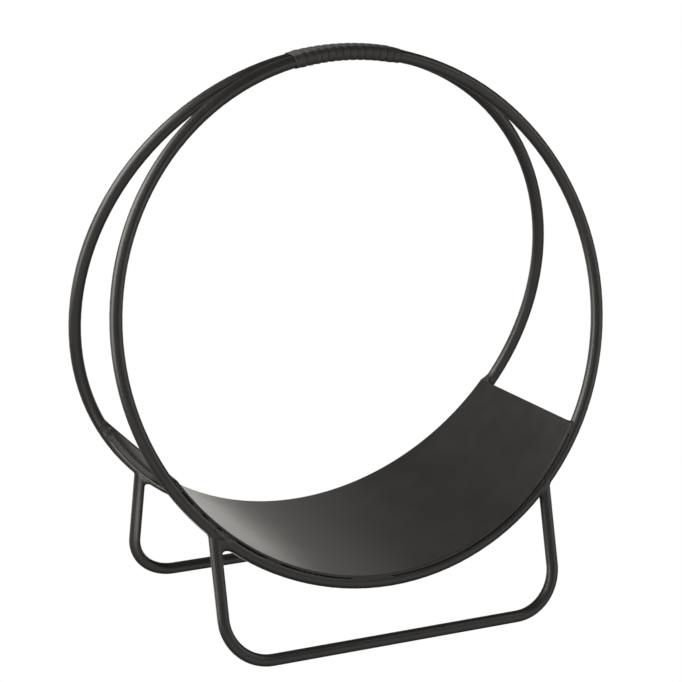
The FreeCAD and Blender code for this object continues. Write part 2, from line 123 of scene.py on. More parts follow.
class Tree:
    """A node tree that is being filled in, for a material or for geometry."""

    def __init__(self, tree: bpy.types.NodeTree) -> None:
        """Keeps Blender's own tree."""
        self.tree = tree

    def feed(self, socket: bpy.types.NodeSocket, content: object) -> None:
        """Links a socket to a value, or sets it where the content is plain."""
        if isinstance(content, Value):
            self.tree.links.new(content.socket, socket)
        else:
            socket.default_value = content

    def node(
        self,
        kind: str,
        settings: dict[str, object] | None = None,
        sockets: dict[str | int, object] | None = None,
        output: str | int = 0,
    ) -> Value:
        """Adds a node.

        Args:
            kind: the node's type.
            settings: its properties, set first.
            sockets: what its inputs hold or are linked to.
            output: which of its outputs is wanted.

        Returns:
            That output, or the first input of a node that has none.
        """
        node = self.tree.nodes.new(kind)
        for name, setting in (settings or {}).items():
            setattr(node, name, setting)
        for key, content in (sockets or {}).items():
            self.feed(node.inputs[key], content)
        return Value(self, node.outputs[output]) if len(node.outputs) else Value(self, node.inputs[0])

    def math(self, operation: str, *values: "Value | float") -> Value:
        """Adds a Math node.

        Args:
            operation: Blender's name for the operation.
            values: what goes in, in order.

        Returns:
            The result.
        """
        return self.node("ShaderNodeMath", {"operation": operation}, dict(enumerate(values)))

    def vector(self, operation: str, *values: "Value | Sequence[float]", output: str = "Vector") -> Value:
        """Adds a Vector Math node.

        Args:
            operation: Blender's name for the operation.
            values: what goes in, in order.
            output: Vector, or Value for a dot product or a length.

        Returns:
            The result.
        """
        return self.node("ShaderNodeVectorMath", {"operation": operation}, dict(enumerate(values)), output)

    def dot(self, first: "Value | Sequence[float]", second: "Value | Sequence[float]") -> Value:
        """The dot product of two vectors."""
        return self.vector("DOT_PRODUCT", first, second, output="Value")

    def attribute(self, name: str) -> Value:
        """A number that the mesh carries, in a material."""
        return self.node("ShaderNodeAttribute", {"attribute_name": name}, output="Fac")

    def stretched(self, direction: "Value | Sequence[float]", amount: "Value | float") -> Value:
        """A vector times a number."""
        return self.node(
            "ShaderNodeVectorMath", {"operation": "SCALE"}, {"Vector": direction, "Scale": amount}
        )

    def combined(self, x: "Value | float", y: "Value | float", z: "Value | float") -> Value:
        """The vector with these three parts."""
        return self.node("ShaderNodeCombineXYZ", None, {"X": x, "Y": y, "Z": z})

    def step(self, value: Value, low: "Value | float", high: "Value | float") -> Value:
        """A soft step from 0 at low to 1 at high."""
        return self.node(
            "ShaderNodeMapRange",
            {"interpolation_type": "SMOOTHSTEP"},
            {"Value": value, "From Min": low, "From Max": high},
        )

    def mixed(self, share: "Value | float", first: "Value | Colour", second: "Value | Colour") -> Value:
        """A colour between two, by share."""
        ends = [(*end, 1.0) if isinstance(end, tuple) else end for end in (first, second)]
        return self.node("ShaderNodeMix", {"data_type": "RGBA"}, {0: share, 6: ends[0], 7: ends[1]}, 2)

    def noise(self, place: Value, grain: float, detail: float = 2.0) -> Value:
        """Noise whose lumps are about grain metres across, from 0 to 1."""
        return self.node(
            "ShaderNodeTexNoise", None, {"Vector": place, "Scale": 1.0 / grain, "Detail": detail}
        )

    def weighed(self, first: Value, second: Value, share: float) -> Value:
        """The sum of two values, the second by its share and the first by the rest."""
        return first * (1.0 - share) + second * share

    def finish(
        self, colour: Value, roughness: Value, height: Value, strength: float, relief: float
    ) -> None:
        """Closes a material with one bumped surface.

        Args:
            colour: its colour.
            roughness: its roughness.
            height: how the bumps rise and fall.
            strength: how strongly they show.
            relief: how high they stand, in metres.
        """
        bump = self.node(
            "ShaderNodeBump", None, {"Strength": strength, "Distance": relief, "Height": height}
        )
        surface = self.node(
            "ShaderNodeBsdfPrincipled", None, {"Base Color": colour, "Roughness": roughness, "Normal": bump}
        )
        self.node("ShaderNodeOutputMaterial", None, {"Surface": surface})


def emptied(owner: bpy.types.Material | bpy.types.World) -> Tree:
    """Clears the nodes of a material or world, and gives its tree to be filled in."""
    owner.use_nodes = True
    owner.node_tree.nodes.clear()
    return Tree(owner.node_tree)


class Recipe(Tree):
    """A geometry tree with named inputs, which makes a piece from a base mesh.

    The density turns a distance in metres into that of a volume, and the mean ripple is about the mean
    height of a ripple.
    """

    KINDS = {float: "NodeSocketFloat", Vector: "NodeSocketVector"}
    DENSITY = -1000.0
    MEAN_RIPPLE = 0.6

    def __init__(self, name: str, sizes: dict[str, float | Vector]) -> None:
        """Starts the tree.

        Args:
            name: the tree's name.
            sizes: the inputs by name, with the values that they take.
        """
        super().__init__(bpy.data.node_groups.new(name, "GeometryNodeTree"))
        self.tree.interface.new_socket("Geometry", in_out="INPUT", socket_type="NodeSocketGeometry")
        self.tree.interface.new_socket("Geometry", in_out="OUTPUT", socket_type="NodeSocketGeometry")
        self.sizes = sizes
        self.identifiers = {}
        for label, size in sizes.items():
            socket = self.tree.interface.new_socket(
                label, in_out="INPUT", socket_type=self.KINDS[type(size)]
            )
            self.identifiers[label] = socket.identifier
        self.entry = self.node("NodeGroupInput")

    def size(self, label: str) -> Value:
        """The input of that name."""
        return self.entry.of(label)

    def blended(self, first: Value, second: Value, width: Value) -> tuple[Value, Value]:
        """Melts two distances into one, as a fillet does.

        Args:
            first: the distance from one surface.
            second: the distance from the other.
            width: how far the fillet reaches.

        Returns:
            The joint distance, and how deep in the fillet a place lies, from 0 to 1.
        """
        near = self.math("MAXIMUM", width - self.math("ABSOLUTE", first - second), 0.0) / width
        return self.math("MINIMUM", first, second) - near * near * width * 0.25, near

    def limited(self, skin: Value, *limits: Value) -> Value:
        """A distance that holds only where every limit is less than nought."""
        for limit in limits:
            skin = self.math("MAXIMUM", skin, limit)
        return skin

    def ripples(self, turn: Value) -> Value:
        """A row of rounded ripples about nought, one for each half turn."""
        return self.math("ABSOLUTE", self.math("SINE", turn)) - self.MEAN_RIPPLE

    def filled(self, low: Vector, high: Vector, voxel: float, skin: Value) -> Value:
        """The surface where a distance is nought.

        Args:
            low: the lower corner of the box that is looked through.
            high: its upper corner.
            voxel: the size of the steps.
            skin: the distance, less than nought inside.

        Returns:
            The mesh.
        """
        counts = {f"Resolution {axis}": round((high - low)["XYZ".index(axis)] / voxel) for axis in "XYZ"}
        volume = self.node(
            "GeometryNodeVolumeCube",
            None,
            {"Density": skin * self.DENSITY, "Background": -1.0, "Min": low, "Max": high, **counts},
        )
        return self.node("GeometryNodeVolumeToMesh", None, {"Volume": volume, "Threshold": 0.0})

    def end(self, geometry: Value, material: bpy.types.Material) -> None:
        """Closes the tree: instances become real, and the material is set."""
        smooth = self.node("GeometryNodeSetShadeSmooth", None, {"Geometry": geometry})
        real = self.node("GeometryNodeRealizeInstances", None, {"Geometry": smooth})
        dressed = self.node("GeometryNodeSetMaterial", None, {"Geometry": real, "Material": material})
        self.node("NodeGroupOutput", None, {"Geometry": dressed})


def shown(name: str, mesh: bpy.types.Mesh) -> bpy.types.Object:
    """Makes an object of a mesh, at the origin of the scene."""
    piece = bpy.data.objects.new(name, mesh)
    bpy.context.scene.collection.objects.link(piece)
    return piece


def baked(maker: bpy.types.Object, name: str) -> bpy.types.Object:
    """Turns an object and its modifiers into one plain mesh object.

    Args:
        maker: the object with its modifiers, which is removed.
        name: the new piece's name.

    Returns:
        The piece.
    """
    bpy.context.view_layer.update()
    depsgraph = bpy.context.evaluated_depsgraph_get()
    mesh = bpy.data.meshes.new_from_object(
        maker.evaluated_get(depsgraph), preserve_all_data_layers=True, depsgraph=depsgraph
    )
    bpy.data.objects.remove(maker)
    mesh.name = name
    return shown(name, mesh)


def grown(name: str, base: bpy.types.Mesh, recipe: Recipe) -> bpy.types.Object:
    """Puts a recipe on a base mesh, as its first modifier.

    Args:
        name: the maker's name.
        base: the mesh that the recipe starts from.
        recipe: the geometry tree and its sizes.

    Returns:
        The object, not yet turned into a plain mesh.
    """
    maker = shown(name, base)
    modifier = maker.modifiers.new("recipe", "NODES")
    modifier.node_group = recipe.tree
    for label, size in recipe.sizes.items():
        modifier[recipe.identifiers[label]] = size
    return maker


def together(
    name: str, pieces: Sequence[tuple[bpy.types.Object, bpy.types.Material]]
) -> bpy.types.Object:
    """Joins plain pieces into one.

    Args:
        name: the new piece's name.
        pieces: the pieces, which are removed, with their finishes.

    Returns:
        The joined piece.
    """
    whole = bmesh.new()
    mesh = bpy.data.meshes.new(name)
    for piece, material in pieces:
        done = len(whole.faces)
        whole.from_mesh(piece.data)
        whole.faces.ensure_lookup_table()
        if mesh.materials.find(material.name) < 0:
            mesh.materials.append(material)
        for face in whole.faces[done:]:
            face.material_index = mesh.materials.find(material.name)
        bpy.data.objects.remove(piece)
    whole.to_mesh(mesh)
    whole.free()
    return shown(name, mesh)


def joined_to_frame(piece: bpy.types.Object, slot: str, *nodes: str) -> None:
    """Lets a piece ride on the frame in place of its CAD nodes, and reports it.

    Args:
        piece: the finished piece.
        slot: not used.
        nodes: the nodes that it stands for.
    """
    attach(piece, BODY)
    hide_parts(*nodes)
    LOG.info("%s: %d faces, in place of %s", piece.name, len(piece.data.polygons), ", ".join(nodes))


@dataclass(frozen=True)
class PowderCoat:
    """Satin powder coat: fine orange peel, a faint mottle and slightly uneven gloss.

    Lengths are in metres, and colours are linear.
    """

    name: str
    colour: Colour = (0.0180, 0.0175, 0.0165)
    pale: Colour = (0.0240, 0.0233, 0.0220)
    roughness: float = 0.30
    uneven: float = 0.10
    peel: float = 0.0011
    grit: float = 0.00032
    mottle: float = 0.028
    relief: float = 0.00005
    strength: float = 0.35
    tones: tuple[float, float] = (0.3, 0.7)
    grit_in_tone: float = 0.3
    grit_in_relief: float = 0.35
    peel_in_gloss: float = 0.4

    def material(self) -> bpy.types.Material:
        """Builds the finish.

        Returns:
            The material.
        """
        material = bpy.data.materials.new(self.name)
        tree = emptied(material)
        place = tree.node("ShaderNodeTexCoord", output="Object")
        peel = tree.noise(place, self.peel)
        grit = tree.noise(place, self.grit, 1.0)
        mottle = tree.noise(place, self.mottle, 4.0)
        shade = tree.step(tree.weighed(mottle, grit, self.grit_in_tone), *self.tones)
        gloss = tree.weighed(mottle, peel, self.peel_in_gloss) - 0.5
        tree.finish(
            tree.mixed(shade, self.colour, self.pale),
            self.roughness + gloss * self.uneven,
            tree.weighed(peel, grit, self.grit_in_relief),
            self.strength,
            self.relief,
        )
        return material


@dataclass(frozen=True)
class Leather:
    """Dark matte leather: pebbled grain, faint streaks, a paler cut edge that is partly the raw edge's
    colour and partly a painted highlight, and painted shade along the edges where turns lap.

    Where the strip lies on top a painted highlight makes it paler, and over its front shoulder painted
    shade makes it darker.
    """

    name: str
    colour: Colour = (0.028, 0.0268, 0.026)
    pale: Colour = (0.043, 0.0415, 0.041)
    # Paler cut edge colour: partly the raw edge's own colour, partly a painted highlight on the left edge
    # that faces the lights.
    cut_edge_and_highlight: Colour = (0.10, 0.095, 0.09)
    # Colour of the painted shade along the lapping edges and over the front shoulder.
    seam: Colour = (0.007, 0.0068, 0.0066)
    # Colour of the painted highlight on the top of the strip.
    painted_highlight: Colour = (0.078, 0.0755, 0.073)
    # Share of the painted shade over the strip's front shoulder.
    shadow: float = 0.6
    roughness: float = 0.58
    pebble: float = 0.0009
    crease: float = 0.0042
    relief: float = 0.00012
    strength: float = 0.5
    uneven: float = 0.2
    tones: tuple[float, float] = (0.25, 0.85)
    crease_in_tone: float = 0.7
    pebble_in_tone: float = 0.4
    crease_in_relief: float = 1.5
    pebble_in_relief: float = 0.5
    edge_span: tuple[float, float] = (0.97, 1.0)
    seam_span: tuple[float, float] = (0.72, 0.95)
    seam_breaks: tuple[float, float] = (0.3, 0.5)

    def material(self) -> bpy.types.Material:
        """Builds the finish.

        Returns:
            The material.
        """
        material = bpy.data.materials.new(self.name)
        tree = emptied(material)
        place = tree.node("ShaderNodeTexCoord", output="Object")
        across, tone = tree.attribute(Grip.ACROSS), tree.attribute(Grip.TONE)
        pebble = tree.node(
            "ShaderNodeTexVoronoi", {"feature": "SMOOTH_F1"}, {"Vector": place, "Scale": 1.0 / self.pebble}
        )
        crease = tree.noise(place, self.crease, 3.0)
        shade = tree.step(crease * self.crease_in_tone + pebble * self.pebble_in_tone, *self.tones)
        painted_light_colour = tree.mixed(shade, self.colour, self.pale)
        # Painted light from the mask: a painted highlight where the strip lies on top, painted shade over
        # its front shoulder.
        painted_light_colour = tree.mixed(tree.step(tone, 0.0, 1.0), painted_light_colour, self.painted_highlight)
        painted_light_colour = tree.mixed(tree.step(-tone, 0.0, 1.0) * self.shadow, painted_light_colour, self.seam)
        # Left edge of each turn, made paler: partly the raw cut edge, partly a painted highlight.
        edge = tree.step(-across, *self.edge_span)
        # Painted shade along the right part of each turn, where it laps, broken up by the creases.
        seam = tree.step(across, *self.seam_span) * tree.step(crease, *self.seam_breaks)
        painted_light_colour = tree.mixed(seam, painted_light_colour, self.seam)
        tree.finish(
            tree.mixed(edge, painted_light_colour, self.cut_edge_and_highlight),
            self.roughness + (crease - 0.5 + edge + seam) * self.uneven,
            pebble * self.pebble_in_relief + crease * self.crease_in_relief,
            self.strength,
            self.relief,
        )
        return material


@dataclass(frozen=True)
class Hoop:
    """One leaning hoop: where its centre line runs."""

    side: Side
    radius: float = 0.250
    bar: float = 0.006
    lean: float = math.radians(12.4)

    @property
    def node(self) -> str:
        """The CAD node of the hoop's bar."""
        return f"{self.side.word}_hoop"

    @cached_property
    def centre(self) -> Vector:
        """The middle of the hoop."""
        low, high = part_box(self.node)
        return Vector((0.0, (low.y + high.y) / 2, (low.z + high.z) / 2))

    @property
    def upward(self) -> Vector:
        """The direction from the hoop's middle to its top."""
        return Vector((0.0, -self.side.value * math.sin(self.lean), math.cos(self.lean)))

    @property
    def outward(self) -> Vector:
        """The direction square to the hoop's plane, away from the other hoop."""
        return Vector((0.0, self.side.value * math.cos(self.lean), math.sin(self.lean)))

    def point(self, angle: float, inward: float = 0.0, out: float = 0.0) -> Vector:
        """A point near the hoop's bar.

        Args:
            angle: round the hoop from its lowest point, towards +X, in radians.
            inward: how far it lies from the centre line towards the hoop's middle.
            out: how far it lies from the hoop's plane, away from the other hoop.

        Returns:
            The point.
        """
        ray = Vector((math.sin(angle), 0.0, 0.0)) - self.upward * math.cos(angle)
        return self.centre + ray * (self.radius - inward) + self.outward * out

    @property
    def inputs(self) -> dict[str, float | Vector]:
        """What a tree needs to know of the hoop, by the names of its inputs."""
        return {
            "Hoop Centre": self.centre,
            "Hoop Axis": self.outward,
            "Hoop Radius": self.radius,
            "Hoop Bar": self.bar,
        }

    def distance(self, tree: Recipe, place: Value) -> tuple[Value, Value]:
        """How far a place is from the bar's surface, and from the hoop's plane.

        Args:
            tree: a tree that has the hoop's inputs.
            place: the place.

        Returns:
            Both distances.
        """
        from_centre = tree.vector("SUBTRACT", place, tree.size("Hoop Centre"))
        aside = tree.dot(from_centre, tree.size("Hoop Axis"))
        in_plane = tree.vector("SUBTRACT", from_centre, tree.stretched(tree.size("Hoop Axis"), aside))
        radial = tree.vector("LENGTH", in_plane, output="Value") - tree.size("Hoop Radius")
        return tree.math("SQRT", radial * radial + aside * aside) - tree.size("Hoop Bar"), aside


@dataclass(frozen=True)
class Bars:
    """The hoops and feet, which keep their CAD shape and get their coat."""

    coat: PowderCoat
    nodes: tuple[str, ...] = (
        "front_hoop", "front_hoop_seam", "rear_hoop", "rear_hoop_seam", "front_foot", "rear_foot",
        "crown_weld",
    )

    def build(self) -> None:
        """Dresses each node."""
        material = self.coat.material()
        for node in self.nodes:
            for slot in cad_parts[node].material_slots:
                slot.material = material
            LOG.info("%s: coated", node)


@dataclass(frozen=True)
class Tray:
    """The rolled sheet: one radius, long edges that lie along the hoops, all edges slightly rounded.

    Towards its ends the sheet laps a little less over the bars. Its rear edge sits slightly to the left,
    and its left end is cut slightly short.
    """

    coat: PowderCoat
    hoop: Hoop
    half_angle: float = math.radians(59.4)
    sheet: float = 0.002
    lap: float = 0.006
    drawn_in: float = 0.0129
    skew: float = 0.0045
    left_cut: float = 0.004
    rounding: float = 0.00025
    rounding_steps: int = 3
    rim: float = 0.0015
    steps_round: int = 128
    steps_across: int = 24

    @property
    def seat(self) -> float:
        """How far the sheet's lower face lies under the hoops' middle."""
        return self.hoop.radius * math.cos(self.hoop.lean) - self.hoop.bar

    @property
    def half_width(self) -> float:
        """From the middle to either end, at the lower face."""
        return (self.hoop.radius - self.hoop.bar) * math.sin(self.half_angle)

    @property
    def roll(self) -> float:
        """The radius of the sheet's lower face."""
        rise = self.seat * (1 - math.cos(self.half_angle))
        return (self.half_width**2 + rise**2) / (2 * rise)

    def overlap(self, angle: float) -> float:
        """How far the sheet reaches past a hoop's plane, at an angle along the hoop."""
        rise = self.seat * (1 - math.cos(angle))
        return self.lap - rise * self.drawn_in * math.cos(self.hoop.lean)

    def cut(self, hand: Hand) -> float:
        """The angle by which the sheet is short at one end, in radians."""
        return self.left_cut / self.roll if hand is Hand.LEFT else 0.0

    def half_turn(self, hand: Hand) -> float:
        """The angle round the roll's axis from the lowest line to one end, in radians."""
        return math.asin(self.half_width / self.roll) - self.cut(hand)

    def end_angle(self, side: Side, hand: Hand) -> float:
        """Where the sheet ends along a hoop, in radians from the lowest point."""
        shift = self.skew / self.roll if side is Side.REAR else 0.0
        return hand.value * (self.half_angle - self.cut(hand)) - shift

    def corner(self, turn: float, share: float, depth: float) -> Vector:
        """A point of the sheet.

        Args:
            turn: angle round the roll's axis from the lowest line.
            share: from -1 at the front edge to 1 at the rear one.
            depth: how far above the lower face.

        Returns:
            The point.
        """
        middle = self.hoop.centre
        reach = self.roll - depth
        placed = turn - self.skew / self.roll * (1 + share) / 2
        x = reach * math.sin(placed)
        z = middle.z - self.seat + self.roll - reach * math.cos(placed)
        edge = abs(middle.y) + self.lap / math.cos(self.hoop.lean)
        edge += (middle.z - z) * math.tan(self.hoop.lean) - (z - middle.z + self.seat) * self.drawn_in
        return Vector((x, share * edge, z))

    def spread(self, steps: int, rim: float) -> list[float]:
        """Shares from -1 to 1, with one more close to each end to hold the rounded edge.

        Args:
            steps: how many even steps.
            rim: the share next to each end.

        Returns:
            The shares in order.
        """
        even = [2 * step / steps - 1 for step in range(steps + 1)]
        return [-1.0, rim - 1, *even[1:-1], 1 - rim, 1.0]

    @staticmethod
    def outline(layer: list[list[bmesh.types.BMVert]]) -> list[bmesh.types.BMVert]:
        """The corners round the border of one face of the sheet, in order."""
        there = [row[-1] for row in layer[1:]]
        back = [row[0] for row in layer[-2:0:-1]]
        return [*layer[0], *there, *layer[-1][-2::-1], *back]

    def blank(self) -> bpy.types.Mesh:
        """Makes the sheet with sharp edges.

        Returns:
            The mesh.
        """
        left, right = -self.half_turn(Hand.LEFT), self.half_turn(Hand.RIGHT)
        shares_round = self.spread(self.steps_round, self.rim / self.half_width)
        turns = [left + (right - left) * (share + 1) / 2 for share in shares_round]
        shares = self.spread(self.steps_across, self.rim / self.corner(0.0, 1.0, 0.0).y)
        mesh = bmesh.new()
        under, over = (
            [[mesh.verts.new(self.corner(turn, share, depth)) for share in shares] for turn in turns]
            for depth in (0.0, self.sheet)
        )
        for layer in (under, over):
            for here, there in zip(layer, layer[1:]):
                for corners in zip(here, here[1:], there[1:], there):
                    mesh.faces.new(corners)
        lower, upper = self.outline(under), self.outline(over)
        for corners in zip(lower, lower[1:] + lower[:1], upper[1:] + upper[:1], upper):
            mesh.faces.new(corners)
        bmesh.ops.recalc_face_normals(mesh, faces=mesh.faces)
        for face in mesh.faces:
            face.smooth = True
        blank = bpy.data.meshes.new("tray")
        mesh.to_mesh(blank)
        mesh.free()
        return blank

    def build(self) -> None:
        """Makes the sheet, rounds its edges and dresses it."""
        blank = self.blank()
        blank.materials.append(self.coat.material())
        maker = shown("tray_blank", blank)
        rounded = maker.modifiers.new("rounded_edges", "BEVEL")
        rounded.width, rounded.segments, rounded.limit_method = self.rounding, self.rounding_steps, "ANGLE"
        joined_to_frame(baked(maker, "tray_sheet"), "tray_coat", "tray")

    def inputs(self, hand: Hand) -> dict[str, float]:
        """What a tree needs to know of one end of the sheet, by the names of its inputs."""
        return {
            "Roll": self.roll,
            "Sheet": self.sheet,
            "Half Turn": self.half_turn(hand),
            "Skew": self.skew,
        }

    def distance(self, tree: Recipe, place: Value, hoop: Hoop, hand: Hand) -> tuple[Value, ...]:
        """How far a place is from one corner of the sheet.

        Args:
            tree: a tree that has the inputs of that end.
            place: the place.
            hoop: the hoop at that corner.
            hand: the end.

        Returns:
            The distance from the sheet, and how far the place lies above it, past its end and off its edge.
        """
        parts = tree.node("ShaderNodeSeparateXYZ", None, {"Vector": place})
        x, y, z = (parts.of(axis) for axis in "XYZ")
        down = hoop.centre.z - self.seat + tree.size("Roll") - z
        reach = tree.math("SQRT", x * x + down * down)
        above = tree.size("Roll") - tree.size("Sheet") - reach
        slant = math.tan(hoop.lean) + self.drawn_in
        edge = self.corner(0.0, 1.0, 0.0).y - (z - hoop.centre.z + self.seat) * slant
        shift = (y / edge + 1.0) * tree.size("Skew") * (hand.value / 2)
        turn = tree.math("ARCTAN2", x * hand.value, down)
        past = (turn - tree.size("Half Turn")) * tree.size("Roll") + shift
        off = (y * hoop.side.value - edge) * math.cos(hoop.lean)
        ways = (tree.math("MAXIMUM", above, reach - tree.size("Roll")), past, off)
        outside = [tree.math("MAXIMUM", way, 0.0) for way in ways]
        apart = tree.math("SQRT", sum((way * way for way in outside[1:]), outside[0] * outside[0]))
        inside = tree.math("MINIMUM", tree.limited(*ways), 0.0)
        return apart + inside, above, past, off


@dataclass(frozen=True)
class Run:
    """One run of weld along a hoop: its middle in degrees, its length and its bead's radius."""

    middle: float
    length: float
    bead: float = 0.0022


@dataclass(frozen=True)
class CornerWeld:
    """The weld at one corner of the tray: a long fillet under the sheet and a ramp from its end to the bar.

    Ramp and beside are how far the blend reaches past the sheet's end and next to it. Closed is how far
    back from the end the crevice is filled. The soft fields are the lengths over which one gives way to
    the next.
    """

    hoop: Hoop
    tray: Tray
    hand: Hand
    ramp: float
    closed: float
    beside: float = 0.008
    fillet: float = 0.012
    fall: float = 0.22
    length: float = 0.104
    least: float = 0.0005
    seat: float = 0.00012
    bite: float = 0.0008
    faint: float = 0.18
    faint_slope: float = 0.01
    soft_under: float = 0.003
    soft_length: float = 0.03
    soft_closed: float = 0.006
    soft_end: float = 0.001
    margin: float = 0.018
    box_inward: tuple[float, float] = (-0.009, 0.011)
    box_out: tuple[float, float] = (-0.030, 0.010)
    voxel: float = 0.0006

    def recipe(self, material: bpy.types.Material) -> Recipe:
        """The tree that fills the corner between sheet and bar.

        Args:
            material: the weld's finish.

        Returns:
            The tree.
        """
        hoop, tray = self.hoop, self.tray
        tree = Recipe(
            f"{hoop.side.word}_{self.hand.word}_corner_weld",
            {
                **hoop.inputs,
                **tray.inputs(self.hand),
                "Fillet": self.fillet,
                "Ramp": self.ramp,
                "Beside": self.beside,
                "Closed": self.closed,
                "Length": self.length,
            },
        )
        place = tree.node("GeometryNodeInputPosition")
        bar, aside = hoop.distance(tree, place)
        sheet, above, past, off = tray.distance(tree, place, hoop, self.hand)
        under = tree.step(-aside, -self.soft_under, self.soft_under)
        under *= tree.step(past + tree.size("Length"), 0.0, self.soft_length)
        ending = tree.step(past + tree.size("Closed"), 0.0, self.soft_closed)
        beyond = tree.step(past, -self.soft_end, self.soft_end)
        beyond = tree.size("Beside") + (tree.size("Ramp") - tree.size("Beside")) * beyond
        blend = self.least + under * (1.0 - ending) * tree.size("Fillet") + ending * beyond
        skin, near = tree.blended(sheet, bar, blend)
        fallen = tree.math("MAXIMUM", past, 0.0) * self.fall
        skin = tree.limited(
            skin + self.seat,
            -sheet - self.bite,
            -bar - self.bite,
            above + self.seat + fallen,
            off + fallen,
            (self.faint - near) * self.faint_slope,
        )
        end = tray.end_angle(hoop.side, self.hand)
        stations = (-self.length, -self.length / 2, 0.0, self.margin)
        corners = [
            hoop.point(end + self.hand.value * along / hoop.radius, inward, away)
            for along in stations for inward in self.box_inward for away in self.box_out
        ]
        low, high = (Vector(pick(way) for way in zip(*corners)) for pick in (min, max))
        tree.end(tree.filled(low, high, self.voxel, skin), material)
        return tree

    def build(self, material: bpy.types.Material) -> bpy.types.Object:
        """Makes the weld.

        Args:
            material: its finish.

        Returns:
            The plain piece.
        """
        maker = grown("corner_maker", bpy.data.meshes.new("seed"), self.recipe(material))
        return baked(maker, "corner_weld")


@dataclass(frozen=True)
class TrayWelds:
    """The welds of one edge of the tray: runs along the bar, a few dots and one weld at each corner.

    A ridge is a fine line along the long fillet of a corner, coloured pale as a painted highlight.
    """

    coat: PowderCoat
    # The pale coat of the ridges: a painted highlight.
    painted_light_colour: PowderCoat
    hoop: Hoop
    tray: Tray
    ramp: float
    closed: float
    runs: tuple[Run, ...] = (
        Run(-50.4, 0.0172),
        Run(-46.0, 0.0155),
        Run(-41.1, 0.0225),
        Run(-29.1, 0.0188),
        Run(-22.2, 0.0036, 0.0012),
        Run(-20.6, 0.0030, 0.0011),
        Run(-19.3, 0.0034, 0.0012),
        Run(-18.0, 0.0028, 0.0010),
        Run(-5.0, 0.044),
    )
    ridges: tuple[Run, ...] = ()
    ridge_turn: float = math.radians(-96.0)
    ridge_rise: float = 0.0008
    proud: float = 0.0002
    low: float = 0.73
    ripple_pitch: float = 0.0017
    ripple: float = 0.10
    taper: float = 0.003
    wander: float = 0.0005
    sways_per_metre: float = 120.0
    lump: float = 0.005
    lumpy: float = 0.3
    blunt: float = 0.02
    fine_steps: int = 6
    sides: int = 14

    def at_edge(self, angle: float, bead: float) -> Vector:
        """The middle of a bead that fills the corner under the sheet's edge.

        Args:
            angle: along the hoop from its lowest point, in radians.
            bead: the bead's radius.

        Returns:
            The point.
        """
        slope = math.atan(math.tan(self.hoop.lean) * math.cos(angle))
        sine, cosine = math.sin(slope), math.cos(slope)
        out = (self.tray.overlap(angle) - self.hoop.bar * sine) / cosine - bead + self.proud
        up = self.hoop.bar - bead * self.low
        return self.hoop.point(angle, up * cosine - out * sine, up * sine + out * cosine)

    def at_ridge(self, angle: float) -> Vector:
        """A point of the ridge along the long fillet, at an angle along the hoop."""
        reach = self.hoop.bar + self.ridge_rise
        return self.hoop.point(angle, reach * math.cos(self.ridge_turn), reach * math.sin(self.ridge_turn))

    def steps(self, run: Run) -> list[float]:
        """The angles along the hoop at which a run's route has points."""
        half = run.length / 2 / (self.hoop.radius - self.hoop.bar)
        steps = max(4, round(run.length / self.ripple_pitch))
        return [math.radians(run.middle) + half * (2 * step / steps - 1) for step in range(steps + 1)]

    def recipe(self, material: bpy.types.Material) -> Recipe:
        """The tree that swells a path into a rippled bead with tapered ends.

        Args:
            material: the beads' finish.

        Returns:
            The tree.
        """
        tree = Recipe(
            f"{self.hoop.side.word}_weld_beads",
            {
                "Ripple Pitch": self.ripple_pitch,
                "Ripple": self.ripple,
                "Taper": self.taper,
                "Wander": self.wander,
            },
        )
        path = tree.node("GeometryNodeMeshToCurve", None, {"Mesh": tree.entry})
        fine = tree.node(
            "GeometryNodeResampleCurve",
            {"mode": "LENGTH"},
            {"Curve": path, "Length": self.ripple_pitch / self.fine_steps},
        )
        place = tree.node("GeometryNodeInputPosition")
        sway = tree.node(
            "ShaderNodeTexNoise", None, {"Vector": place, "Scale": self.sways_per_metre}, "Color"
        )
        offset = tree.stretched(tree.vector("SUBTRACT", sway, (0.5, 0.5, 0.5)), tree.size("Wander"))
        swayed = tree.node("GeometryNodeSetPosition", None, {"Geometry": fine, "Offset": offset})
        along = tree.node("GeometryNodeSplineParameter", output="Length")
        whole = tree.node("GeometryNodeSplineLength")
        near_end = tree.math("MINIMUM", along, whole - along)
        rounded = tree.math("SQRT", tree.math("MINIMUM", near_end / tree.size("Taper") + self.blunt, 1.0))
        ripples = tree.ripples(along / tree.size("Ripple Pitch") * math.pi)
        lumps = tree.noise(place, self.lump)
        bead = tree.node("GeometryNodeInputNamedAttribute", None, {"Name": "bead"})
        uneven = ripples * tree.size("Ripple") + (lumps - 0.5) * self.lumpy
        swell = bead * rounded * (1.0 + uneven)
        profile = tree.node(
            "GeometryNodeCurvePrimitiveCircle",
            {"mode": "RADIUS"},
            {"Resolution": self.sides, "Radius": 1.0},
        )
        tube = tree.node(
            "GeometryNodeCurveToMesh",
            None,
            {"Curve": swayed, "Profile Curve": profile, "Scale": swell, "Fill Caps": True},
        )
        tree.end(tube, material)
        return tree

    def beads(
        self, routes: Sequence[tuple[Run, list[Vector]]], material: bpy.types.Material
    ) -> bpy.types.Object:
        """Makes beads of one finish.

        Args:
            routes: the runs with their points.
            material: the finish.

        Returns:
            The plain piece.
        """
        points, sizes, edges = [], [], []
        for run, route in routes:
            first = len(points)
            points += route
            sizes += [run.bead] * len(route)
            edges += [(step, step + 1) for step in range(first, len(points) - 1)]
        base = bpy.data.meshes.new("bead_paths")
        base.from_pydata(points, edges, [])
        base.attributes.new("bead", "FLOAT", "POINT").data.foreach_set("value", sizes)
        return baked(grown("bead_maker", base, self.recipe(material)), "beads")

